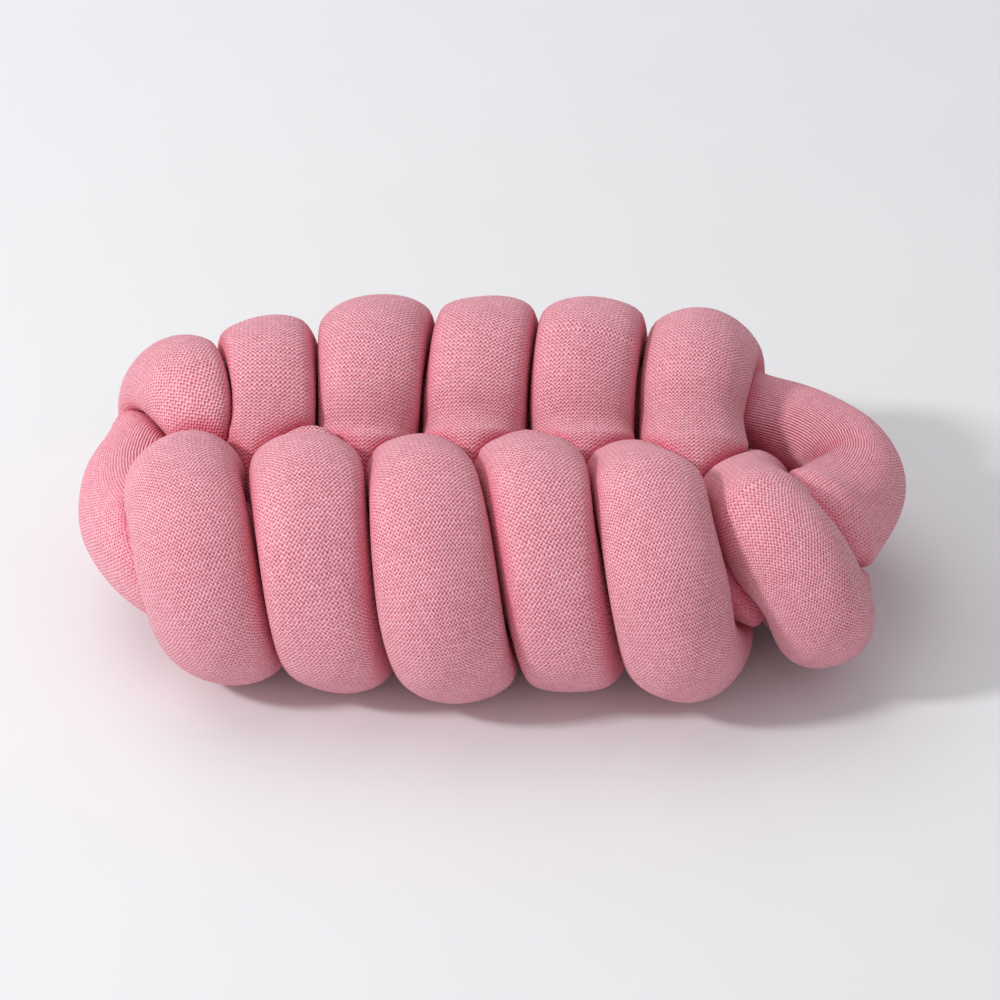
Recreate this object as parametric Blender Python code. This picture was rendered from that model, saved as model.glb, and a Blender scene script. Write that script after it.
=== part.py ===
"""Knot cushion: one long stuffed knit tube, laid as an oval ring and woven over it in figures of eight.

Metres, +Z up. The cushion lies on z = 0, with the origin below the middle of its length and depth.
Run with: blender --background --python part.py
"""

import math

import bmesh
import bpy
import numpy as np

# Driving sizes. Lengths marked "tubes" are multiples of the tube's own diameter.
TUBE = 0.065            # diameter of the stuffed tube where nothing presses on it, in metres
RING_HEIGHT = 1.07      # height of the oval ring's centre line, in tubes
RUN_OFFSET = 1.135      # how far the front and back runs lie from the middle, in tubes

# Section of the tube, in tubes: half width along the ring, half thickness, and area kept when squeezed.
FREE_HALF = 0.50
LOOP_HALF_THICK = 0.475
LOOP_AREA = 0.70
USUAL_HALF_WIDE = 0.58  # the half width of a loop that keeps just that area
FRONT_END_SHARE = 0.88  # how wide a front loop is at its ends, as a share of its width over the ring
BACK_END_SHARE = 0.96   # the same for the back loops
PASS_HALF = 0.62
PASS_AREA = 0.62
RING_ADVANTAGE = 0.055  # how much harder the ring is than what presses on it, as a power-diagram weight
HALF_GAP = 0.0005       # clearance kept on each side of a contact, in metres
SMALLEST_REACH = 0.08   # least distance from the centre line to a pressed side, in tubes

# How the section gives way. The corners get sharper as the exponent grows, and the free outline may
# shrink or swell between these shares to keep its area.
SQUEEZE_SHARPNESS = 10.0
LEAST_SWELL = 0.90
MOST_SWELL = 1.25
AREA_SEARCH_STEPS = 24

# How the centre line is made even.
ROUTE_POINTS = 1400     # points along the centre line
ROUTE_SMOOTHING = 0.16  # reach of the averaging along it, in tubes
OWN_STRETCH = 0.3       # neighbours nearer than this along the tube don't press on it, in tubes
PRESS_REACH = 2.2       # only stretches within this distance can press on it, in tubes
NO_LIMIT = 10.0         # stands for a direction in which nothing presses, in tubes
RING_POINTS = 300       # points given for the oval ring
LOOP_POINTS = 50        # points given for each loop

# The loops lie flattened over the ring between these angles from the outward direction, in radians:
# fully below the first, and not at all beyond the second.
FLATTENED_BELOW = 1.05
ROUND_BEYOND = 1.92

# Mesh resolution.
RINGS = 400
SIDES = 14

# The loops in the order in which they are wound. Side of the ring is -1 front or 1 back. The centre,
# the radius to the loop's centre line and the half width along the ring are in tubes. The turn is the
# loop's own turn about the vertical in degrees, and the lean is how far it moves along the ring between
# its two ends, in tubes.
LOOPS = (
    # side, x, y, radius, half width, turn, lean
    (1, -2.77, 0.70, 0.51, 0.455, 32.0, 0.15),
    (-1, -2.50, -1.09, 0.555, 0.535, 0.0, 0.58),
    (1, -2.00, 0.84, 0.575, 0.61, 12.0, 0.35),
    (-1, -1.49, -1.08, 0.60, 0.585, 0.0, 0.44),
    (1, -1.03, 1.10, 0.71, 0.59, 0.0, 0.35),
    (-1, -0.46, -1.32, 0.63, 0.60, 0.0, 0.42),
    (1, -0.02, 1.08, 0.625, 0.59, 0.0, 0.35),
    (-1, 0.57, -1.14, 0.57, 0.60, 0.0, 0.54),
    (1, 0.96, 1.04, 0.635, 0.59, 0.0, 0.35),
    (-1, 1.54, -1.40, 0.605, 0.57, 2.0, 0.52),
    (1, 1.93, 0.95, 0.595, 0.53, -3.0, 0.25),
    (-1, 2.69, -1.28, 0.43, 0.495, 20.0, 0.60),
)

# The ring's centre line seen from above, from where it starts inside the first loop, round the left
# end, along the front run, round the right end and back along the back run.
RING = (
    # x, y, in tubes
    (-2.50, 0.94), (-2.77, 0.82), (-3.00, 0.62), (-3.17, 0.38), (-3.27, 0.12),
    (-3.30, -0.14), (-3.27, -0.42), (-3.19, -0.66), (-3.01, -0.86), (-2.75, -1.02),
    (-2.40, -1.12), (-1.50, -1.15), (0.00, -1.16), (1.50, -1.15), (2.20, -1.12),
    (2.52, -1.00), (2.80, -0.74), (3.06, -0.44), (3.25, -0.15), (3.32, 0.12),
    (3.22, 0.44), (2.98, 0.70), (2.64, 0.89), (2.20, 1.02), (1.50, 1.10),
    (0.00, 1.12), (-1.20, 1.10), (-1.90, 0.94),
)

# The crease inside the ring's sharp right-hand bend. The skin is drawn in along a line seen from above
# from the inner corner to the outer side, deepest at the corner. In tubes.
FOLD_CORNER = (2.90, 0.10)
FOLD_APEX = (3.33, 0.17)
FOLD_REACH = 0.45       # distance from the centre line at which the skin's place is judged
FOLD_DEPTH = 0.16
FOLD_WIDTH = 0.09
FOLD_START = 0.25       # how far past the tube's top the crease runs, as a share of its half width
FOLD_SPREAD = 1.1       # over how much of the half width it deepens
FOLD_NEAR = 1.0         # only this far along the tube from the apex

# How the tube leaves the back run inside the second loop, passes through the middle and rises to
# become the first loop.
TURN_IN = (
    # x, y, height above the ring's centre line, in tubes
    (-2.12, 0.55, -0.06),
    (-2.28, 0.30, -0.12),
    (-2.42, 0.24, 0.12),
)

# How the last loop's end rises through the middle and is tucked under the last back loop.
TAIL = (
    # x, y, height above the ring's centre line, in tubes
    (2.56, -0.34, -0.46),
    (2.44, -0.04, -0.30),
    (2.26, 0.18, -0.14),
    (2.06, 0.38, -0.05),
)
TAIL_HALF = 0.42        # half thickness of the tube near its tucked end, in tubes

END_ROUNDING = 0.45     # length over which each end of the tube is rounded off, in tubes
END_FLAT = 0.12         # share of the section that is left at the very end
END_POINT = 0.03        # how far the middle of each end stands out, in tubes


def ring_route():
    """The part of the tube that makes the oval ring."""
    flat = np.column_stack((np.array(RING), np.zeros(len(RING))))
    return resampled(flat, [], RING_POINTS)[0]


def loop_route(side, x, y, radius, half_width, turn, lean):
    """One loop round the ring, from its upper inner end over the outside to its lower inner end.

    It gives the points, the direction of the loop's width, and the section at each point.
    """
    heading = np.array((math.cos(math.radians(turn)), math.sin(math.radians(turn)), 0.0))
    outward = side * np.array((-heading[1], heading[0], 0.0))
    # The loop turns from this angle above the outward direction to as far below, where it meets the
    # straight pass that crosses to the other run.
    wrap = math.pi - math.acos(radius / RUN_OFFSET)
    shares = np.linspace(0.0, 1.0, LOOP_POINTS)[:, None]
    angles = wrap * (1.0 - 2.0 * shares)
    centres = np.array((x, y, 0.0)) + lean * (shares - 0.5) * heading
    lift = np.sin(angles) * np.array((0.0, 0.0, 1.0))
    points = centres + radius * (np.cos(angles) * outward + lift)
    area = LOOP_AREA * half_width / USUAL_HALF_WIDE
    end_share = BACK_END_SHARE if side > 0 else FRONT_END_SHARE
    ends = np.array((end_share * half_width, FREE_HALF, area))
    middle = np.array((half_width, LOOP_HALF_THICK, area))
    pulled = np.clip((ROUND_BEYOND - np.abs(angles)) / (ROUND_BEYOND - FLATTENED_BELOW), 0.0, 1.0)
    return points, heading, ends + (middle - ends) * pulled * pulled * (3.0 - 2.0 * pulled)


def whole_route():
    """The tube's centre line with, at each point, its width direction and what it does there."""
    up = np.array((0.0, 0.0, 1.0))
    sideways = np.array((1.0, 0.0, 0.0))
    rows = []

    def add(points, width, sections, ring):
        count = len(points)
        wide, sized = np.broadcast_to(width, (count, 3)), np.broadcast_to(sections, (count, 3))
        rows.append(np.column_stack((points, wide, sized, np.full(count, ring))))

    add(ring_route(), up, (FREE_HALF, FREE_HALF, math.pi * FREE_HALF ** 2), 1.0)
    add(np.array(TURN_IN), sideways, (PASS_HALF, PASS_HALF, PASS_AREA), 0.0)
    for loop in LOOPS:
        add(*loop_route(*loop), 0.0)
    add(np.array(TAIL), sideways, (TAIL_HALF, TAIL_HALF, math.pi * TAIL_HALF ** 2), 0.0)
    return np.concatenate(rows)


def resampled(points, columns, count):
    """The polyline and its columns of values at evenly spaced places along its length."""
    steps = np.linalg.norm(np.diff(points, axis=0), axis=1)
    places = np.concatenate(([0.0], np.cumsum(steps)))
    wanted = np.linspace(0.0, places[-1], count)
    table = np.column_stack([points] + columns)
    return np.column_stack([np.interp(wanted, places, column) for column in table.T]), places[-1]


def smoothed(table, spacing, reach):
    """Each column averaged along the route with a bell-shaped weight, its ends left in place."""
    half = int(math.ceil(3.0 * reach / spacing))
    weights = np.exp(-0.5 * (np.arange(-half, half + 1) * spacing / reach) ** 2)
    weights /= weights.sum()
    head = 2.0 * table[0] - table[half:0:-1]
    tail = 2.0 * table[-1] - table[-2:-half - 2:-1]
    padded = np.concatenate((head, table, tail))
    return np.column_stack([np.convolve(column, weights, "valid") for column in padded.T])


def unit(vectors):
    return vectors / np.linalg.norm(vectors, axis=-1, keepdims=True)


def carried_frames(points):
    """Tangents, and two directions across them that are carried along without twisting."""
    tangents = unit(np.gradient(points, axis=0))
    first = np.empty_like(points)
    first[0] = unit(np.cross(tangents[0], (0.0, 0.0, 1.0)))
    for index in range(1, len(points)):
        leaning = first[index - 1] - tangents[index] * (first[index - 1] @ tangents[index])
        first[index] = unit(leaning)
    return tangents, first, np.cross(tangents, first)


def contact_limits(points, hardness, places, chosen, directions):
    """How far the tube may reach in each direction before it meets another stretch of itself."""
    limits = np.full(directions.shape[:2], NO_LIMIT)
    for row, index in enumerate(chosen):
        away = points - points[index]
        far = np.abs(places - places[index]) > OWN_STRETCH
        near = (np.linalg.norm(away, axis=1) < PRESS_REACH) & far
        away = away[near]
        facing = directions[row] @ away.T
        reach = (away ** 2).sum(axis=1) + hardness[index] - hardness[near]
        with np.errstate(divide="ignore", invalid="ignore"):
            distance = np.where(facing > 1e-6, reach / (2.0 * facing), NO_LIMIT)
        limits[row] = distance.min(axis=1, initial=NO_LIMIT)
    return np.maximum(limits, SMALLEST_REACH)


def section_radii(free, limits, areas, sides):
    """Radii that follow the free section, stop softly at the limits and keep the wanted area."""
    wedge = 0.5 * math.sin(2.0 * math.pi / sides)

    def pressed_radii(scale):
        swollen = (free * scale[:, None]) ** -SQUEEZE_SHARPNESS
        return (swollen + limits ** -SQUEEZE_SHARPNESS) ** (-1.0 / SQUEEZE_SHARPNESS)

    low = np.full(len(free), LEAST_SWELL)
    high = np.full(len(free), MOST_SWELL)
    for _ in range(AREA_SEARCH_STEPS):
        middle = 0.5 * (low + high)
        radii = pressed_radii(middle)
        area = wedge * (radii * np.roll(radii, -1, axis=1)).sum(axis=1)
        low = np.where(area < areas, middle, low)
        high = np.where(area < areas, high, middle)
    return pressed_radii(0.5 * (low + high))


def fold_depths(centres, across):
    """How far the skin is drawn in to make the crease, for each ring and side."""
    corner = np.array((*FOLD_CORNER, 0.0))
    apex = np.array((*FOLD_APEX, 0.0))
    crest = unit(apex - corner)
    along = np.array((-crest[1], crest[0], 0.0))
    skin = centres[:, None, :] + across * FOLD_REACH
    beside = np.abs((skin - corner) @ along)
    near = np.linalg.norm(centres - apex, axis=1)[:, None] < FOLD_NEAR
    share = np.clip((FOLD_START - across @ crest) / FOLD_SPREAD, 0.0, 1.0)
    return near * FOLD_DEPTH * share * np.exp(-beside / FOLD_WIDTH)


def tube_surface(rings, sides):
    """Rings of surface points along the whole tube, in metres, with a pole at each end."""
    table = whole_route()
    table, length = resampled(table[:, :3], [table[:, 3:]], ROUTE_POINTS)
    table = smoothed(table, length / ROUTE_POINTS, ROUTE_SMOOTHING)
    table, length = resampled(table[:, :3], [table[:, 3:]], ROUTE_POINTS)
    points = table[:, :3]
    places = np.linspace(0.0, length, ROUTE_POINTS)
    tangents, first, second = carried_frames(points)
    hardness = RING_ADVANTAGE * table[:, 9]
    chosen = np.round(np.linspace(0, ROUTE_POINTS - 1, rings)).astype(int)

    angles = np.linspace(0.0, 2.0 * math.pi, sides, endpoint=False)
    across = first[chosen, None, :] * np.cos(angles)[None, :, None]
    across = across + second[chosen, None, :] * np.sin(angles)[None, :, None]
    wide = table[chosen, 3:6]
    along = (wide * tangents[chosen]).sum(axis=1, keepdims=True)
    wide = unit(wide - along * tangents[chosen])
    toward = (across * wide[:, None, :]).sum(axis=2)

    half_wide, half_thick, areas = table[chosen, 6:9].T
    wide_share = (toward / half_wide[:, None]) ** 2
    thick_share = (1.0 - toward ** 2) / half_thick[:, None] ** 2
    free = 1.0 / np.sqrt(wide_share + thick_share)
    limits = contact_limits(points, hardness, places, chosen, across) - HALF_GAP / TUBE
    radii = section_radii(free, limits, areas, sides)

    from_end = np.minimum(places[chosen], length - places[chosen])
    share = np.clip(from_end / END_ROUNDING, 0.0, 1.0)
    radii = radii * np.maximum(np.sqrt(1.0 - (1.0 - share) ** 2), END_FLAT)[:, None]
    radii = radii - fold_depths(points[chosen], across)
    surface = points[chosen, None, :] + across * radii[:, :, None]
    surface[:, :, 2] = np.maximum(surface[:, :, 2] + RING_HEIGHT, 0.0)
    poles = points[[0, -1]] + tangents[[0, -1]] * np.array(((-END_POINT,), (END_POINT,)))
    poles[:, 2] += RING_HEIGHT
    flat = surface.reshape(-1, 3)
    middle = 0.5 * (flat.min(axis=0) + flat.max(axis=0)) * np.array((1.0, 1.0, 0.0))
    return (surface - middle) * TUBE, (poles - middle) * TUBE, length * TUBE


def tube_mesh(surface, poles):
    """A closed mesh through the rings, with a fan of triangles at each end."""
    rings, sides = surface.shape[:2]
    build = bmesh.new()
    rows = [[build.verts.new(point) for point in ring] for ring in surface]
    caps = [build.verts.new(point) for point in poles]
    for lower, upper in zip(rows, rows[1:]):
        for side in range(sides):
            after = (side + 1) % sides
            build.faces.new((lower[side], lower[after], upper[after], upper[side]))
    for side in range(sides):
        after = (side + 1) % sides
        build.faces.new((caps[0], rows[0][after], rows[0][side]))
        build.faces.new((caps[1], rows[-1][side], rows[-1][after]))
    bmesh.ops.triangulate(build, faces=build.faces[:])
    mesh = bpy.data.meshes.new("knit_tube")
    build.to_mesh(mesh)
    build.free()
    return mesh


def knit_material():
    material = bpy.data.materials.new("pink_knit")
    material.use_nodes = True
    shader = material.node_tree.nodes["Principled BSDF"]
    shader.inputs["Base Color"].default_value = (0.72, 0.22, 0.30, 1.0)
    shader.inputs["Roughness"].default_value = 0.9
    shader.inputs["Metallic"].default_value = 0.0
    return material


def clear_scene():
    for thing in list(bpy.data.objects):
        bpy.data.objects.remove(thing, do_unlink=True)


def main():
    clear_scene()
    surface, poles, length = tube_surface(RINGS, SIDES)
    mesh = tube_mesh(surface, poles)
    mesh.materials.append(knit_material())
    mesh.shade_smooth()
    cushion = bpy.data.objects.new("knit_tube", mesh)
    bpy.context.scene.collection.objects.link(cushion)
    print(f"tube length {length:.2f} m")


main()
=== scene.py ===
import logging
import math
from dataclasses import dataclass, field
from enum import Enum
from typing import Union

import bpy
import numpy as np
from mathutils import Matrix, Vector


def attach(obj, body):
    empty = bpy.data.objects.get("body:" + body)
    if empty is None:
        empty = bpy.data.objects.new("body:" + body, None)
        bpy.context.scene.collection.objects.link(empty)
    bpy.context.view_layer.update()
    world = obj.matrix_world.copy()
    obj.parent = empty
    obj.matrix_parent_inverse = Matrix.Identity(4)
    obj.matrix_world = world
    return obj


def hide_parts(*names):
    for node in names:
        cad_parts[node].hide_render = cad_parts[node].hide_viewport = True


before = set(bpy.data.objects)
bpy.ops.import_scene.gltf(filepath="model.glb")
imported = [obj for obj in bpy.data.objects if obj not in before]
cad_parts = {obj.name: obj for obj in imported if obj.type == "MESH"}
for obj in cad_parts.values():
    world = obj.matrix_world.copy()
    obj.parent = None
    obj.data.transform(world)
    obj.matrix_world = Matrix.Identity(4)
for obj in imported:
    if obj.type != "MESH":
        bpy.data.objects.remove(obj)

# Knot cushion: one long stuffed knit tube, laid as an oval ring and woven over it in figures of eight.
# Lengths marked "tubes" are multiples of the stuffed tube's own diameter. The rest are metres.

LOG = logging.getLogger("knot_cushion")
UP = np.array((0.0, 0.0, 1.0))
SIDEWAYS = np.array((1.0, 0.0, 0.0))


class Run(Enum):
    """The run of the ring that a loop is wound round, by its side of the middle."""

    FRONT = -1
    BACK = 1


@dataclass(frozen=True)
class Loop:
    """One loop of the tube round the ring.

    The centre, the radius to the loop's centre line and the half width along the ring are in tubes.
    The turn is about the vertical in degrees, and the lean is how far the loop moves along the ring
    between its two ends, in tubes.
    """

    run: Run
    x: float
    y: float
    radius: float
    half_width: float
    turn: float
    lean: float


WEAVE = (
    Loop(Run.BACK, -2.77, 0.70, 0.51, 0.455, 32.0, 0.15),
    Loop(Run.FRONT, -2.50, -1.09, 0.555, 0.535, 0.0, 0.58),
    Loop(Run.BACK, -2.00, 0.84, 0.575, 0.61, 12.0, 0.35),
    Loop(Run.FRONT, -1.49, -1.08, 0.60, 0.585, 0.0, 0.44),
    Loop(Run.BACK, -1.03, 1.10, 0.71, 0.59, 0.0, 0.35),
    Loop(Run.FRONT, -0.46, -1.32, 0.63, 0.60, 0.0, 0.42),
    Loop(Run.BACK, -0.02, 1.08, 0.625, 0.59, 0.0, 0.35),
    Loop(Run.FRONT, 0.57, -1.14, 0.57, 0.60, 0.0, 0.54),
    Loop(Run.BACK, 0.96, 1.04, 0.635, 0.59, 0.0, 0.35),
    Loop(Run.FRONT, 1.54, -1.40, 0.605, 0.57, 2.0, 0.52),
    Loop(Run.BACK, 1.93, 0.95, 0.595, 0.53, -3.0, 0.25),
    Loop(Run.FRONT, 2.69, -1.28, 0.43, 0.495, 20.0, 0.60),
)

# The ring's centre line seen from above, in tubes, from where it starts inside the first loop, round
# the left end, along the front run, round the right end and back along the back run.
RING = (
    (-2.50, 0.94), (-2.77, 0.82), (-3.00, 0.62), (-3.17, 0.38), (-3.27, 0.12), (-3.30, -0.14),
    (-3.27, -0.42), (-3.19, -0.66), (-3.01, -0.86), (-2.75, -1.02), (-2.40, -1.12), (-1.50, -1.15),
    (0.00, -1.16), (1.50, -1.15), (2.20, -1.12), (2.52, -1.00), (2.80, -0.74), (3.06, -0.44),
    (3.25, -0.15), (3.32, 0.12), (3.22, 0.44), (2.98, 0.70), (2.64, 0.89), (2.20, 1.02),
    (1.50, 1.10), (0.00, 1.12), (-1.20, 1.10), (-1.90, 0.94),
)

# How the tube leaves the back run inside the second loop, passes through the middle and rises to
# become the first loop, in tubes from the ring's centre line.
TURN_IN = ((-2.12, 0.55, -0.06), (-2.28, 0.30, -0.12), (-2.42, 0.24, 0.12))

# How the last loop's end rises through the middle and is tucked under the last back loop.
TAIL = ((2.56, -0.34, -0.46), (2.44, -0.04, -0.30), (2.26, 0.18, -0.14), (2.06, 0.38, -0.05))


@dataclass(frozen=True)
class Route:
    """The tube's centre line at even spacing, with what the tube does at each point of it.

    All arrays have one row per point. Lengths are in tubes.
    """

    points: np.ndarray
    widths: np.ndarray
    half_wide: np.ndarray
    half_thick: np.ndarray
    areas: np.ndarray
    on_ring: np.ndarray
    length: float

    @property
    def places(self) -> np.ndarray:
        """Distances along the centre line, in tubes."""
        return np.linspace(0.0, self.length, len(self.points))


@dataclass
class Weaver:
    """Lays the tube's centre line: the oval ring first, and then the loops wound over it."""

    run_offset: float = 1.135
    free_half: float = 0.50
    loop_half_thick: float = 0.475
    front_end_share: float = 0.88
    back_end_share: float = 0.96
    usual_half_wide: float = 0.58
    loop_area: float = 0.70
    pass_half: float = 0.62
    pass_area: float = 0.62
    tail_half: float = 0.42
    round_beyond: float = 1.92
    flattening: float = 0.87
    smoothing: float = 0.16
    ring_count: int = 300
    loop_count: int = 50
    count: int = 2801
    rows: list[np.ndarray] = field(default_factory=list)

    def lay(self) -> Route:
        """Lays the whole centre line.

        Returns:
            The route, smoothed and evenly spaced.
        """
        self.rows = []
        free = (self.free_half, self.free_half, math.pi * self.free_half ** 2)
        tail = (self.tail_half, self.tail_half, math.pi * self.tail_half ** 2)
        ring = np.column_stack((np.array(RING), np.zeros(len(RING))))
        self.add(evenly_spaced(ring, self.ring_count)[0], UP, free, 1.0)
        turn_in = (self.pass_half, self.pass_half, self.pass_area)
        self.add(np.array(TURN_IN), SIDEWAYS, turn_in, 0.0)
        for loop in WEAVE:
            self.add(*self.wind(loop), 0.0)
        self.add(np.array(TAIL), SIDEWAYS, tail, 0.0)
        table, length = evenly_spaced(np.concatenate(self.rows), self.count)
        table = smoothed(table, length / self.count, self.smoothing)
        table, length = evenly_spaced(table, self.count)
        half_wide, half_thick, areas, on_ring = table[:, 6:].T
        return Route(table[:, :3], table[:, 3:6], half_wide, half_thick, areas, on_ring, length)

    def add(self, points: np.ndarray, width: np.ndarray,
            section: Union[np.ndarray, tuple[float, ...]], on_ring: float) -> None:
        """Adds a stretch to the centre line.

        Args:
            points: The stretch's points, in tubes.
            width: The direction in which the section is widest.
            section: The section's half width and half thickness in tubes, and its area, for each
                point or for all of them.
            on_ring: 1 where the stretch belongs to the ring, and 0 elsewhere.
        """
        count = len(points)
        widths = np.broadcast_to(width, (count, 3))
        sections = np.broadcast_to(section, (count, 3))
        self.rows.append(np.column_stack((points, widths, sections, np.full(count, on_ring))))

    def wind(self, loop: Loop) -> tuple[np.ndarray, np.ndarray, np.ndarray]:
        """Winds one loop round the ring, from its upper inner end to its lower inner end.

        Args:
            loop: The loop's sizes.

        Returns:
            The loop's points in tubes, the direction of its width, and its sections, which are
            round at the ends and flattened where the loop is pulled over the ring.
        """
        turn = math.radians(loop.turn)
        heading = np.array((math.cos(turn), math.sin(turn), 0.0))
        outward = loop.run.value * np.array((-heading[1], heading[0], 0.0))
        wrap = math.pi - math.acos(loop.radius / self.run_offset)
        shares = np.linspace(0.0, 1.0, self.loop_count)[:, None]
        angles = wrap * (1.0 - 2.0 * shares)
        centres = np.array((loop.x, loop.y, 0.0)) + loop.lean * (shares - 0.5) * heading
        points = centres + loop.radius * (np.cos(angles) * outward + np.sin(angles) * UP)
        area = self.loop_area * loop.half_width / self.usual_half_wide
        end_share = self.back_end_share if loop.run is Run.BACK else self.front_end_share
        ends = np.array((end_share * loop.half_width, self.free_half, area))
        middle = np.array((loop.half_width, self.loop_half_thick, area))
        pulled = np.clip((self.round_beyond - np.abs(angles)) / self.flattening, 0.0, 1.0)
        return points, heading, ends + (middle - ends) * eased(pulled)


def evenly_spaced(table: np.ndarray, count: int) -> tuple[np.ndarray, float]:
    """Moves the rows of a table to even places along its line.

    Args:
        table: One row per point, whose first three columns are its place.
        count: How many rows to give.

    Returns:
        The new table, and the line's length.
    """
    steps = np.linalg.norm(np.diff(table[:, :3], axis=0), axis=1)
    places = np.concatenate(([0.0], np.cumsum(steps)))
    wanted = np.linspace(0.0, places[-1], count)
    spaced = np.column_stack([np.interp(wanted, places, column) for column in table.T])
    return spaced, float(places[-1])


def smoothed(table: np.ndarray, spacing: float, reach: float) -> np.ndarray:
    """Averages each column along the line with a bell-shaped weight, and leaves the ends in place.

    Args:
        table: One row per point.
        spacing: Distance between rows.
        reach: Reach of the averaging, as a distance.

    Returns:
        The averaged table.
    """
    half = int(math.ceil(3.0 * reach / spacing))
    weights = np.exp(-0.5 * (np.arange(-half, half + 1) * spacing / reach) ** 2)
    weights /= weights.sum()
    head = 2.0 * table[0] - table[half:0:-1]
    tail = 2.0 * table[-1] - table[-2:-half - 2:-1]
    padded = np.concatenate((head, table, tail))
    return np.column_stack([np.convolve(column, weights, "valid") for column in padded.T])


def eased(share: np.ndarray) -> np.ndarray:
    """Eases a share from 0 to 1, so that it starts and stops gently."""
    return share * share * (3.0 - 2.0 * share)


def unit(vectors: np.ndarray) -> np.ndarray:
    """Gives each vector a length of 1.

    Args:
        vectors: Vectors along the last axis.

    Returns:
        The same directions.
    """
    return vectors / np.linalg.norm(vectors, axis=-1, keepdims=True)


@dataclass
class StuffedTube:
    """The whole cushion's skin: the tube's sections, squeezed where one stretch presses on another."""

    route: Route
    diameter: float = 0.065
    ring_height: float = 1.07
    ring_advantage: float = 0.055
    half_gap: float = 0.0005
    smallest_reach: float = 0.08
    own_stretch: float = 0.3
    press_reach: float = 2.2
    squeeze_sharpness: float = 10.0
    squeeze_steps: int = 24
    least_swell: float = 0.90
    most_swell: float = 1.25
    end_rounding: float = 0.45
    smallest_end: float = 0.12
    pole_height: float = 0.03
    # The painted crease shade is full where the room left is smaller than the first, and fades out over
    # the second, in tubes.
    crease_shade_start: float = 0.03
    crease_shade_fade: float = 0.045
    outer_share: float = 0.95
    outer_reach: float = 8.0
    ring_closed: float = 0.36
    fold_apex: tuple[float, float] = (3.33, 0.17)
    fold_corner: tuple[float, float] = (2.90, 0.10)
    fold_reach: float = 0.45
    fold_depth: float = 0.16
    fold_width: float = 0.09
    fold_span: float = 1.0
    fold_start: float = 0.25
    fold_spread: float = 1.1
    rings: int = 1400
    sides: int = 64
    lump_height: float = 0.0005
    lump_room: float = 0.12
    lump_waves: int = 40
    lump_turns: int = 4
    lump_pace: tuple[float, float] = (1.5, 9.0)
    seed: int = 11

    @property
    def chosen(self) -> np.ndarray:
        """The route's points at which the rings lie."""
        return np.round(np.linspace(0, len(self.route.points) - 1, self.rings)).astype(int)

    @property
    def angles(self) -> np.ndarray:
        """The angle of each side round the tube."""
        return np.linspace(0.0, 2.0 * math.pi, self.sides, endpoint=False)

    def build(self, name: str) -> bpy.types.Object:
        """Builds the skin as a closed mesh with the knit's own map on it.

        Args:
            name: The piece's name.

        Returns:
            The finished piece, its place in its mesh.
        """
        surface, poles, crease_shades = self.skin()
        points = np.concatenate((surface.reshape(-1, 3), poles))
        mesh = bpy.data.meshes.new(name)
        mesh.from_pydata(points.tolist(), [], self.faces())
        self.map_knit(mesh, surface, crease_shades)
        mesh.shade_smooth()
        mesh.validate()
        piece = bpy.data.objects.new(name, mesh)
        bpy.context.scene.collection.objects.link(piece)
        return piece

    def skin(self) -> tuple[np.ndarray, np.ndarray, np.ndarray]:
        """Works out where the skin lies.

        Returns:
            Rings of points along the tube, and a pole for each end, in metres, and the painted crease
            shade at each point of a ring, from 0 to 1, by how far into a crease between two stretches or
            into the fold it lies.
        """
        chosen = self.chosen
        centres = self.route.points[chosen]
        tangents, first, second = self.frames()
        angles = self.angles[None, :, None]
        across = first[chosen, None] * np.cos(angles) + second[chosen, None] * np.sin(angles)
        limits = self.contact_limits(across) - self.half_gap / self.diameter
        radii = self.pressed(self.free_outline(tangents, across), limits)
        spare = limits - radii
        radii = radii + self.lumps() * eased(np.clip(spare / self.lump_room, 0.0, 1.0))
        radii = radii * self.end_shares()[:, None]
        fold = self.fold(centres, across)
        radii = radii - fold
        # Painted shade: the knit is darkened where two stretches press together and in the fold, where
        # little light reaches.
        crease_shades = np.exp(-np.maximum(spare - self.crease_shade_start, 0.0) / self.crease_shade_fade)
        crease_shades = np.maximum(crease_shades, fold / self.fold_depth)
        surface = centres[:, None] + across * radii[:, :, None]
        surface[:, :, 2] = np.maximum(surface[:, :, 2] + self.ring_height, 0.0)
        outwards = np.array(((-self.pole_height,), (self.pole_height,)))
        poles = self.route.points[[0, -1]] + tangents[[0, -1]] * outwards
        poles[:, 2] += self.ring_height
        flat = surface.reshape(-1, 3)
        middle = 0.5 * (flat.min(axis=0) + flat.max(axis=0)) * np.array((1.0, 1.0, 0.0))
        return (surface - middle) * self.diameter, (poles - middle) * self.diameter, crease_shades

    def frames(self) -> tuple[np.ndarray, np.ndarray, np.ndarray]:
        """Carries two directions across the tube along it without twisting them.

        Returns:
            The tangents and the two directions, for each point of the route.
        """
        tangents = unit(np.gradient(self.route.points, axis=0))
        first = np.empty_like(tangents)
        first[0] = unit(np.cross(tangents[0], UP))
        for index in range(1, len(tangents)):
            carried = first[index - 1] - tangents[index] * (first[index - 1] @ tangents[index])
            first[index] = unit(carried)
        return tangents, first, np.cross(tangents, first)

    def free_outline(self, tangents: np.ndarray, across: np.ndarray) -> np.ndarray:
        """Works out the oval section that the tube would have with nothing pressing on it.

        Args:
            tangents: The route's tangents.
            across: Directions across the tube, for each ring and side.

        Returns:
            A radius for each ring and side, in tubes.
        """
        chosen = self.chosen
        wide = self.route.widths[chosen]
        along = (wide * tangents[chosen]).sum(axis=1, keepdims=True)
        wide = unit(wide - along * tangents[chosen])
        toward = (across * wide[:, None]).sum(axis=2)
        wide_share = (toward / self.route.half_wide[chosen, None]) ** 2
        thick_share = (1.0 - toward ** 2) / self.route.half_thick[chosen, None] ** 2
        return 1.0 / np.sqrt(wide_share + thick_share)

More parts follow.
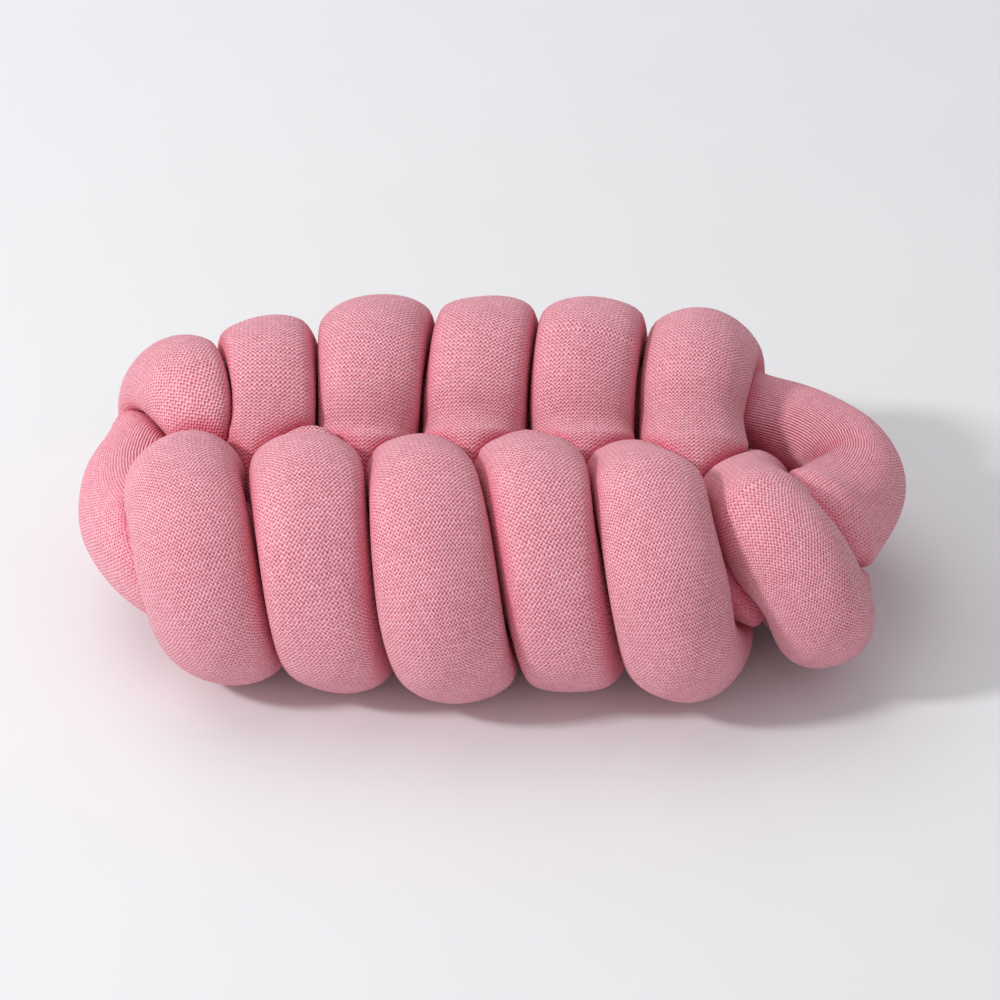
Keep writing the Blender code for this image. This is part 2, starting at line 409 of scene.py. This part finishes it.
    def contact_limits(self, across: np.ndarray) -> np.ndarray:
        """Finds how far the tube may reach before it meets another stretch of itself.

        Args:
            across: Directions across the tube, for each ring and side.

        Returns:
            A distance for each ring and side, in tubes.
        """
        no_limit, barely = 10.0, 1e-6
        points, places = self.route.points, self.route.places
        hardness = self.ring_advantage * self.route.on_ring
        limits = np.full(across.shape[:2], no_limit)
        for row, index in enumerate(self.chosen):
            away = points - points[index]
            apart = np.abs(places - places[index]) > self.own_stretch
            near = ((away ** 2).sum(axis=1) < self.press_reach ** 2) & apart
            away = away[near]
            facing = across[row] @ away.T
            reach = (away ** 2).sum(axis=1) + hardness[index] - hardness[near]
            with np.errstate(divide="ignore", invalid="ignore"):
                distance = np.where(facing > barely, reach / (2.0 * facing), no_limit)
            limits[row] = distance.min(axis=1, initial=no_limit)
        return np.maximum(limits, self.smallest_reach)

    def pressed(self, free: np.ndarray, limits: np.ndarray) -> np.ndarray:
        """Squeezes each section into its room, and lets it swell where it can to keep its area.

        Args:
            free: The free section's radii, in tubes.
            limits: How far the tube may reach, in tubes.

        Returns:
            The squeezed radii, in tubes.
        """
        sharpness, areas = self.squeeze_sharpness, self.route.areas[self.chosen]
        wedge = 0.5 * math.sin(2.0 * math.pi / self.sides)
        low = np.full(len(free), self.least_swell)
        high = np.full(len(free), self.most_swell)
        stops = limits ** -sharpness
        for _ in range(self.squeeze_steps):
            middle = 0.5 * (low + high)
            radii = ((free * middle[:, None]) ** -sharpness + stops) ** (-1.0 / sharpness)
            area = wedge * (radii * np.roll(radii, -1, axis=1)).sum(axis=1)
            low = np.where(area < areas, middle, low)
            high = np.where(area < areas, high, middle)
        return radii

    def lumps(self) -> np.ndarray:
        """Works out how the loose filling makes the skin uneven.

        Returns:
            A height for each ring and side, in tubes.
        """
        draw = np.random.default_rng(self.seed)
        places, angles = self.route.places[self.chosen][:, None], self.angles[None, :]
        total = np.zeros((self.rings, self.sides))
        for _ in range(self.lump_waves):
            around = draw.integers(-self.lump_turns, self.lump_turns + 1)
            along = draw.uniform(*self.lump_pace)
            total += np.cos(places * along + angles * around + draw.uniform(0.0, 2.0 * math.pi))
        return total * self.lump_height / self.diameter * math.sqrt(2.0 / self.lump_waves)

    def fold(self, centres: np.ndarray, across: np.ndarray) -> np.ndarray:
        """Works out the crease inside the ring's sharp right-hand bend.

        Args:
            centres: The rings' centres, in tubes.
            across: Directions across the tube, for each ring and side.

        Returns:
            How far the skin is drawn in, for each ring and side, in tubes.
        """
        apex, corner = np.array((*self.fold_apex, 0.0)), np.array((*self.fold_corner, 0.0))
        crest = unit(apex - corner)
        along = np.array((-crest[1], crest[0], 0.0))
        skin = centres[:, None] + across * self.fold_reach
        inward = -(across @ crest)
        beside = np.abs((skin - corner) @ along)
        near = np.linalg.norm(centres - apex, axis=1)[:, None] < self.fold_span
        share = np.clip((inward + self.fold_start) / self.fold_spread, 0.0, 1.0)
        return near * self.fold_depth * share * np.exp(-beside / self.fold_width)

    def end_shares(self) -> np.ndarray:
        """Works out how each end of the tube is rounded off.

        Returns:
            The share of the section that is left at each ring.
        """
        places = self.route.places[self.chosen]
        from_end = np.minimum(places, self.route.length - places)
        share = np.clip(from_end / self.end_rounding, 0.0, 1.0)
        return np.maximum(np.sqrt(1.0 - (1.0 - share) ** 2), self.smallest_end)

    def faces(self) -> list[tuple[int, ...]]:
        """Lists the mesh's faces, the ends' fans last.

        Returns:
            The corners of each face, pointing outwards.
        """
        sides, last = self.sides, (self.rings - 1) * self.sides
        made: list[tuple[int, ...]] = []
        for ring in range(self.rings - 1):
            low, high = ring * sides, (ring + 1) * sides
            made.extend((low + s, low + (s + 1) % sides, high + (s + 1) % sides, high + s)
                        for s in range(sides))
        start, end = self.rings * sides, self.rings * sides + 1
        made.extend((start, (s + 1) % sides, s) for s in range(sides))
        made.extend((end, last + s, last + (s + 1) % sides) for s in range(sides))
        return made

    def map_knit(self, mesh: bpy.types.Mesh, surface: np.ndarray, crease_shades: np.ndarray) -> None:
        """Gives the mesh the knit's map, how far it is pulled out, and where the painted crease shade
        lies.

        Args:
            mesh: The skin's mesh.
            surface: Rings of points along the tube, in metres.
            crease_shades: The painted crease shade at each point of a ring, from 0 to 1, by how far into
                a crease it lies.
        """
        sides, rings = self.sides, self.rings
        loops = np.empty(len(mesh.loops), np.int64)
        mesh.loops.foreach_get("vertex_index", loops)
        ring, side = loops // sides, loops % sides
        lengths = np.linalg.norm(np.gradient(surface, axis=0), axis=2)
        # The courses are counted along the outer side of each bend, where the knit keeps its length.
        longest = np.quantile(lengths, self.outer_share, axis=1)[:, None]
        outer = smoothed(longest, 1.0, self.outer_reach)
        places = np.cumsum(outer)
        LOG.info("%.3f m along the outer side", places[-1])
        along = (places / places[-1])[np.minimum(ring, rings - 1)]
        around = side / sides
        around[loops >= rings * sides] = 0.5
        quads = 4 * (rings - 1) * sides
        faces = np.arange(quads // 4).repeat(4) % sides
        around[:quads] = np.where((faces == sides - 1) & (side[:quads] == 0), 1.0, around[:quads])
        layer = mesh.uv_layers.new(name="knit")
        layer.uv.foreach_set("vector", np.column_stack((along, around)).astype(np.float32).ravel())
        # The ring lies slack, so its stitches stay more closed than those of the loops over it.
        kept_open = 1.0 - self.ring_closed * self.route.on_ring[self.chosen]
        opened = lengths / outer * kept_open[:, None]
        # The crease attribute carries the painted crease shade into the knit's colour.
        for name, shares in (("pulled", opened), ("crease", crease_shades)):
            values = np.concatenate((shares.ravel(), np.ones(2))).astype(np.float32)
            mesh.attributes.new(name, "FLOAT", "POINT").data.foreach_set("value", values)


Number = Union["Field", float]


class Field:
    """A number that varies over a surface, for use in sums and products."""

    def __init__(self, bench: "NodeBench", socket: bpy.types.NodeSocket) -> None:
        """Wraps a socket of a node on the bench."""
        self.bench = bench
        self.socket = socket

    def __add__(self, other: Number) -> "Field":
        """Adds another number."""
        return self.bench.maths("ADD", self, other)

    def __sub__(self, other: Number) -> "Field":
        """Takes another number away."""
        return self.bench.maths("SUBTRACT", self, other)

    def __rsub__(self, other: Number) -> "Field":
        """Takes this field away from another number."""
        return self.bench.maths("SUBTRACT", other, self)

    def __mul__(self, other: Number) -> "Field":
        """Multiplies by another number."""
        return self.bench.maths("MULTIPLY", self, other)


class NodeBench:
    """A material under construction, and the one way in which its nodes are added."""

    def __init__(self, name: str) -> None:
        """Starts an empty material of that name."""
        self.material = bpy.data.materials.new(name)
        self.material.use_nodes = True
        self.tree = self.material.node_tree
        self.tree.nodes.clear()

    def node(self, kind: str, settings: dict[str, object],
             inputs: dict[Union[str, int], object]) -> bpy.types.Node:
        """Adds a node.

        Args:
            kind: The node's type.
            settings: Its settings, set before its sockets.
            inputs: A value, field or socket for each of its sockets, by name or number.

        Returns:
            The node.
        """
        made = self.tree.nodes.new(kind)
        for name, value in settings.items():
            setattr(made, name, value)
        for key, value in inputs.items():
            source = value.socket if isinstance(value, Field) else value
            if isinstance(source, bpy.types.NodeSocket):
                self.tree.links.new(source, made.inputs[key])
            else:
                made.inputs[key].default_value = source
        return made

    def field(self, kind: str, settings: dict[str, object],
              inputs: dict[Union[str, int], object], output: Union[str, int] = 0) -> Field:
        """Adds a node and gives one of its outputs as a field.

        Args:
            kind: The node's type.
            settings: Its settings.
            inputs: Its sockets' values or links.
            output: The output's name or number.

        Returns:
            The output, wrapped.
        """
        return Field(self, self.node(kind, settings, inputs).outputs[output])

    def maths(self, operation: str, *values: Number) -> Field:
        """Adds a Math node for an operation on these values."""
        return self.field("ShaderNodeMath", {"operation": operation}, dict(enumerate(values)))

    def smooth(self, value: Number, low: float, high: float) -> Field:
        """Gives 0 below low and 1 above high, with a smooth rise between them."""
        sockets = {"Value": value, "From Min": low, "From Max": high}
        return self.field("ShaderNodeMapRange", {"interpolation_type": "SMOOTHSTEP"}, sockets)

    def noise(self, place: bpy.types.NodeSocket, scale: float, detail: float = 2.0) -> Field:
        """Gives soft noise from 0 to 1, with that many grains to the metre."""
        sockets = {"Vector": place, "Scale": scale, "Detail": detail, "Roughness": 0.55}
        return self.field("ShaderNodeTexNoise", {"noise_dimensions": "3D"}, sockets)

    def mix(self, share: Number, first: object, second: object) -> bpy.types.NodeSocket:
        """Mixes two colours.

        Args:
            share: How much of the second there is, from 0 to 1.
            first: A colour or a socket.
            second: A colour or a socket.

        Returns:
            The mixed colour's socket.
        """
        sockets = {0: share, 6: first, 7: second}
        return self.node("ShaderNodeMix", {"data_type": "RGBA"}, sockets).outputs[2]


@dataclass(frozen=True)
class JerseyKnit:
    """The fine heathered jersey: stitches whose wales run along the tube."""

    wales: int = 90
    rib_share: float = 1.4
    courses: int = 2420
    # Painted light: the light colour is a painted highlight on the stitches' crests, and the colour after
    # the body is painted shade in the holes between stitches; the body colour is the yarn's own.
    light: tuple[float, float, float, float] = (1.0, 0.545, 0.62, 1.0)
    body: tuple[float, float, float, float] = (0.89, 0.325, 0.40, 1.0)
    gap_shade: tuple[float, float, float, float] = (0.45, 0.09, 0.14, 1.0)
    # Painted shade: the next colour is the dark pink that each crease between stretches takes on, where
    # little light reaches and what does is bounced off the pink knit.
    crease_shade_colour: tuple[float, float, float, float] = (0.82, 0.13, 0.21, 1.0)
    open_range: tuple[float, float] = (0.2, 0.75)
    # Where the painted shade in the holes and the painted highlight on the crests come in, by the knit's
    # height and its colour that varies at random.
    gap_shade_tones: tuple[float, float] = (-0.05, 0.5)
    crest_highlight_tones: tuple[float, float] = (0.45, 0.95)
    fibre_grain: float = 1400.0
    heather_grain: float = 420.0
    cloud_grain: float = 30.0
    stitch_tone: float = 0.14
    fibre_tone: float = 0.6
    heather_tone: float = 0.16
    cloud_tone: float = 0.12
    # How far the colour is pulled towards the painted crease shade.
    crease_shade_share: float = 0.7
    fibre_relief: float = 0.25
    stitch_height: float = 0.0009
    sway_grain: float = 90.0
    sway: float = 1.2
    drift_grain: float = 160.0
    drift: float = 0.5
    slant: float = 0.5
    leg_height: float = 0.17
    knot_height: float = 0.27
    wale_height: float = 0.16
    base_height: float = 0.41
    rib_depth: float = 0.22
    roughness: float = 0.95
    top_polish: float = 0.1
    specular: float = 0.15
    sheen: float = 0.35
    sheen_roughness: float = 0.35
    sheen_tint: tuple[float, float, float, float] = (1.0, 0.86, 0.89, 1.0)

    def material(self, name: str) -> bpy.types.Material:
        """Makes the knit's material.

        Args:
            name: The material's name.

        Returns:
            The material.
        """
        bench = NodeBench(name)
        place = bench.node("ShaderNodeTexCoord", {}, {}).outputs["Object"]
        stitch, closed, each = self.stitches(bench, place)
        pulled = bench.field("ShaderNodeAttribute", {"attribute_name": "pulled"}, {}, "Fac")
        open_knit = bench.smooth(pulled, *self.open_range)
        height = stitch * open_knit + closed * (1.0 - open_knit)
        fibre = bench.noise(place, self.fibre_grain, 3.0)
        heather = bench.noise(place, self.heather_grain)
        cloud = bench.noise(place, self.cloud_grain)
        # The knit's height sets painted shade in the holes between stitches and a painted highlight on
        # their crests; the noises add the yarn's own colour that varies at random.
        stitch_shade_and_tone = height + (each - 0.5) * self.stitch_tone + (fibre - 0.5) * self.fibre_tone
        stitch_shade_and_tone = stitch_shade_and_tone + (heather - 0.5) * self.heather_tone + (cloud - 0.5) * self.cloud_tone
        colour = bench.mix(bench.smooth(stitch_shade_and_tone, *self.gap_shade_tones), self.gap_shade, self.body)
        colour = bench.mix(bench.smooth(stitch_shade_and_tone, *self.crest_highlight_tones), colour, self.light)
        # Painted shade: the colour turns dark pink in each crease, as far as the crease attribute says.
        crease = bench.field("ShaderNodeAttribute", {"attribute_name": "crease"}, {}, "Fac")
        colour = bench.mix(crease * self.crease_shade_share, colour, self.crease_shade_colour)
        relief = height + (fibre - 0.5) * self.fibre_relief
        bump = bench.node("ShaderNodeBump", {}, {
            "Strength": 1.0, "Distance": self.stitch_height, "Height": relief})
        shader = bench.node("ShaderNodeBsdfPrincipled", {}, {
            "Base Color": colour,
            "Roughness": self.roughness - height * self.top_polish,
            "Normal": bump.outputs["Normal"],
            "Specular IOR Level": self.specular,
            "Sheen Weight": self.sheen,
            "Sheen Roughness": self.sheen_roughness,
            "Sheen Tint": self.sheen_tint,
        })
        bench.node("ShaderNodeOutputMaterial", {}, {"Surface": shader.outputs["BSDF"]})
        return bench.material

    def stitches(self, bench: NodeBench, place: bpy.types.NodeSocket) -> tuple[Field, Field, Field]:
        """Draws the stitches: each wale is a column of V shapes, and each V is two slanting legs.

        Args:
            bench: The material under construction.
            place: The place on the piece.

        Returns:
            The open stitches' height and the closed stitches' height, both mostly from 0 to 1, and
            a chance number from 0 to 1 for each stitch.
        """
        knit = bench.node("ShaderNodeUVMap", {"uv_map": "knit"}, {}).outputs["UV"]
        split = bench.node("ShaderNodeSeparateXYZ", {}, {"Vector": knit})
        sway = bench.noise(place, self.sway_grain) - 0.5
        drift = bench.noise(place, self.drift_grain) - 0.5
        along = Field(bench, split.outputs["X"]) * float(self.courses) + sway * self.sway
        around = Field(bench, split.outputs["Y"]) * float(self.wales) + drift * self.drift
        # 0 at the wale's edges and 1 at its middle.
        inward = bench.maths("PINGPONG", around, 0.5) * 2.0
        turn = 2.0 * math.pi
        slanted = along + inward * self.slant
        legs = bench.maths("COSINE", slanted * turn)
        knots = bench.maths("COSINE", along * turn) * bench.maths("COSINE", around * turn)
        wale = bench.maths("SINE", inward * (0.5 * math.pi))
        # Closed stitches show only as fine ribs along the tube.
        rib = bench.maths("PINGPONG", around * self.rib_share, 0.5)
        closed = bench.maths("SINE", rib * math.pi) - self.rib_depth
        cell = bench.node("ShaderNodeCombineXYZ", {}, {
            "X": bench.maths("FLOOR", slanted + 0.5), "Y": bench.maths("FLOOR", around)})
        each = bench.field("ShaderNodeTexWhiteNoise", {"noise_dimensions": "2D"}, {
            "Vector": cell.outputs["Vector"]}, "Value")
        stitch = legs * self.leg_height + knots * self.knot_height
        return stitch + wale * self.wale_height + self.base_height, closed, each


@dataclass(frozen=True)
class PaintedFloor:
    """The plain pale floor's finish."""

    colour: tuple[float, float, float, float] = (0.83, 0.83, 0.845, 1.0)
    roughness: float = 0.75
    specular: float = 0.2
    grain: float = 9.0
    shaded: float = 0.97

    def material(self, name: str) -> bpy.types.Material:
        """Makes the floor's material.

        Args:
            name: The material's name.

        Returns:
            The material.
        """
        bench = NodeBench(name)
        place = bench.node("ShaderNodeTexCoord", {}, {}).outputs["Object"]
        grain = bench.noise(place, self.grain)
        shade = tuple(channel * self.shaded for channel in self.colour[:3]) + (1.0,)
        shader = bench.node("ShaderNodeBsdfPrincipled", {}, {
            "Base Color": bench.mix(grain, self.colour, shade),
            "Roughness": self.roughness,
            "Specular IOR Level": self.specular,
        })
        bench.node("ShaderNodeOutputMaterial", {}, {"Surface": shader.outputs["BSDF"]})
        return bench.material


class LampShape(Enum):
    """The outline of a lamp's face."""

    DISK = "DISK"
    SQUARE = "SQUARE"


@dataclass(frozen=True)
class Lamp:
    """One lamp: its face's shape and size, where it hangs, and its power in watts."""

    name: str
    shape: LampShape
    size: float
    place: tuple[float, float, float]
    power: float

    def hang(self) -> None:
        """Hangs the lamp so that it shines at the middle of the floor."""
        light = bpy.data.lights.new(self.name, "AREA")
        light.shape = self.shape.value
        light.size = self.size
        light.energy = self.power
        lamp = bpy.data.objects.new(self.name, light)
        lamp.location = Vector(self.place)
        lamp.rotation_euler = (-lamp.location).to_track_quat("-Z", "Y").to_euler()
        bpy.context.scene.collection.objects.link(lamp)


LAMPS = (
    Lamp("key_light", LampShape.DISK, 0.45, (-2.57, -0.90, 2.14), 61.0),
    Lamp("window_light", LampShape.SQUARE, 3.0, (-1.3, 1.2, 3.0), 37.0),
    Lamp("fill_light", LampShape.SQUARE, 0.75, (-1.6, -2.8, 0.4), 9.0),
)


@dataclass
class Studio:
    """The floor, the light and the camera."""

    floor_size: float = 24.0
    finish: PaintedFloor = PaintedFloor()
    sky: tuple[float, float, float, float] = (0.97, 0.98, 1.0, 1.0)
    sky_strength: float = 0.50
    aim: tuple[float, float, float] = (0.0036, 0.0, 0.0650)
    elevation: float = 37.0
    distance: float = 1.95
    view_angle: float = 17.5

    def lay_floor(self) -> bpy.types.Object:
        """Lays the floor.

        Returns:
            The floor.
        """
        half = self.floor_size / 2.0
        corners = [(-half, -half, 0.0), (half, -half, 0.0), (half, half, 0.0), (-half, half, 0.0)]
        mesh = bpy.data.meshes.new("floor")
        mesh.from_pydata(corners, [], [(0, 1, 2, 3)])
        mesh.materials.append(self.finish.material("floor_paint"))
        floor = bpy.data.objects.new("floor", mesh)
        bpy.context.scene.collection.objects.link(floor)
        return floor

    def light(self) -> None:
        """Sets up the light: a pale room all round, and the lamps, which all hang at the left."""
        world = bpy.data.worlds.new("pale_room")
        world.use_nodes = True
        backdrop = world.node_tree.nodes["Background"]
        backdrop.inputs["Color"].default_value = self.sky
        backdrop.inputs["Strength"].default_value = self.sky_strength
        bpy.context.scene.world = world
        for lamp in LAMPS:
            lamp.hang()

    def set_camera(self) -> None:
        """Sets the camera in front of the cushion, looking down on it, with colours shown as they are."""
        bpy.context.scene.view_settings.view_transform = "Standard"
        camera = bpy.data.cameras.new("camera")
        camera.angle = math.radians(self.view_angle)
        holder = bpy.data.objects.new("camera", camera)
        rise = math.radians(self.elevation)
        back = Vector((0.0, -math.cos(rise), math.sin(rise)))
        holder.location = Vector(self.aim) + back * self.distance
        holder.rotation_euler = (-back).to_track_quat("-Z", "Y").to_euler()
        bpy.context.scene.collection.objects.link(holder)
        bpy.context.scene.camera = holder


def main() -> None:
    """Builds the cushion and its studio."""
    logging.basicConfig(level=logging.INFO, format="%(name)s: %(message)s")
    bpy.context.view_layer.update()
    route = Weaver().lay()
    cushion = StuffedTube(route).build("stuffed_knit_tube")
    cushion.data.materials.append(JerseyKnit().material("pink_knit"))
    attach(cushion, "root")
    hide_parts("knit_tube")
    LOG.info("%s: %d faces", cushion.name, len(cushion.data.polygons))
    studio = Studio()
    studio.lay_floor()
    studio.light()
    studio.set_camera()


if __name__ == "__main__":
    main()
